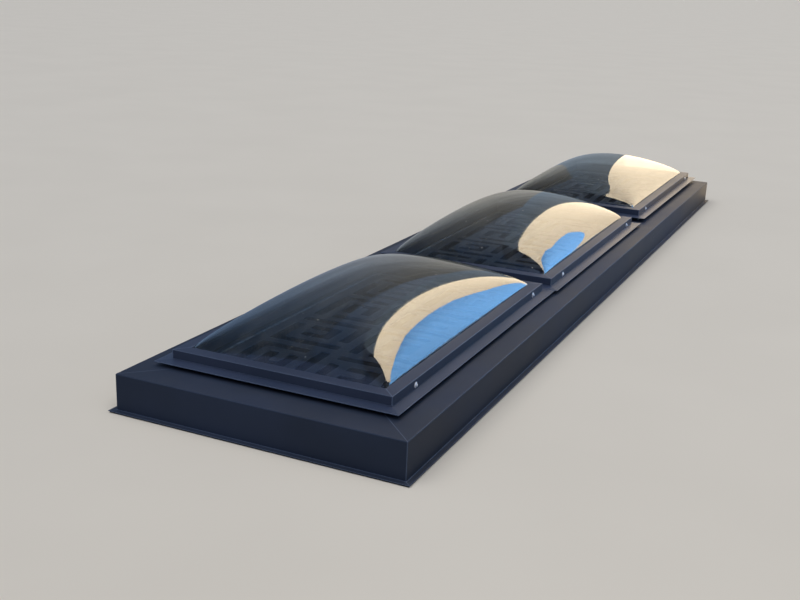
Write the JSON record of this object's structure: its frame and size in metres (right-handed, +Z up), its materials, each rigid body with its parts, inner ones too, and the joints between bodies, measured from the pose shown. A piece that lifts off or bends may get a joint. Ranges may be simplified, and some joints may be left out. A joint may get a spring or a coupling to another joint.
{
  "type": "roof skylight",
  "caption": "Long roof skylight: blown acrylic domes in clamp frames, in a row on one folded-sheet kerb with slotted screens inside.",
  "frame": {"origin": "middle of the kerb in length and width, on the surface that the kerb stands on", "axes": "+X across the kerb towards its open long side, +Y along the kerb from the end with the wide margin, +Z up through the domes"},
  "size_m": [1.244, 5.594, 0.429],
  "materials": {
    "kerb_paint": "satin anthracite powder coat on folded sheet",
    "frame_paint": "satin anthracite powder coat on extruded profile",
    "clamp_paint": "satin anthracite powder coat on extruded profile",
    "screen_paint": "satin anthracite powder coat on laser-cut plate",
    "ledge_paint": "satin anthracite powder coat on angle",
    "galvanised_steel": "hot-dip galvanised box tube and strap, dull spangle",
    "bracket_steel": "hot-dip galvanised angle",
    "screw_steel": "bright zinc-plated hexagon screws",
    "screen_screw_steel": "stainless low-headed screws",
    "washer_zinc": "bright zinc-plated broad washers",
    "seal_rubber": "matt black EPDM strip",
    "foot_rubber": "matt black EPDM strip under the cover foot",
    "smoked_acrylic": "clear blown acrylic with a grey smoke tint, glossy both sides"
  },
  "bodies": {
    "root": {"anchor_brackets": "bracket_steel", "base_frame_1": "frame_paint", "base_frame_2": "frame_paint", "base_frame_3": "frame_paint", "clamp_bar_far_1": "clamp_paint", "clamp_bar_far_2": "clamp_paint", "clamp_bar_far_3": "clamp_paint", "clamp_bar_left_1": "clamp_paint", "clamp_bar_left_2": "clamp_paint", "clamp_bar_left_3": "clamp_paint", "clamp_bar_near_1": "clamp_paint", "clamp_bar_near_2": "clamp_paint", "clamp_bar_near_3": "clamp_paint", "clamp_bar_right_1": "clamp_paint", "clamp_bar_right_2": "clamp_paint", "clamp_bar_right_3": "clamp_paint", "clamp_screws": "screw_steel", "clamp_washers": "washer_zinc", "cover_bridge_1": "kerb_paint", "cover_bridge_2": "kerb_paint", "cover_far_end": "kerb_paint", "cover_left_far": "kerb_paint", "cover_left_near": "kerb_paint", "cover_near_end": "kerb_paint", "cover_right_far": "kerb_paint", "cover_right_near": "kerb_paint", "cross_rail_1_far": "galvanised_steel", "cross_rail_1_near": "galvanised_steel", "cross_rail_2_far": "galvanised_steel", "cross_rail_2_near": "galvanised_steel", "cross_rail_3_far": "galvanised_steel", "cross_rail_3_near": "galvanised_steel", "dome_1": "smoked_acrylic", "dome_2": "smoked_acrylic", "dome_3": "smoked_acrylic", "dome_seal_lower_1": "seal_rubber", "dome_seal_lower_2": "seal_rubber", "dome_seal_lower_3": "seal_rubber", "dome_seal_upper_1": "seal_rubber", "dome_seal_upper_2": "seal_rubber", "dome_seal_upper_3": "seal_rubber", "foot_seal_far": "foot_rubber", "foot_seal_left": "foot_rubber", "foot_seal_near": "foot_rubber", "foot_seal_right": "foot_rubber", "joint_straps": "galvanised_steel", "kerb_seal_1": "seal_rubber", "kerb_seal_2": "seal_rubber", "kerb_seal_3": "seal_rubber", "rail_bolts": "screw_steel", "rail_left": "galvanised_steel", "rail_right": "galvanised_steel", "screen_1": "screen_paint", "screen_2": "screen_paint", "screen_3": "screen_paint", "screen_ledge_1": "ledge_paint", "screen_ledge_2": "ledge_paint", "screen_ledge_3": "ledge_paint", "screen_screws": "screen_screw_steel"}
  },
  "joints": []
}
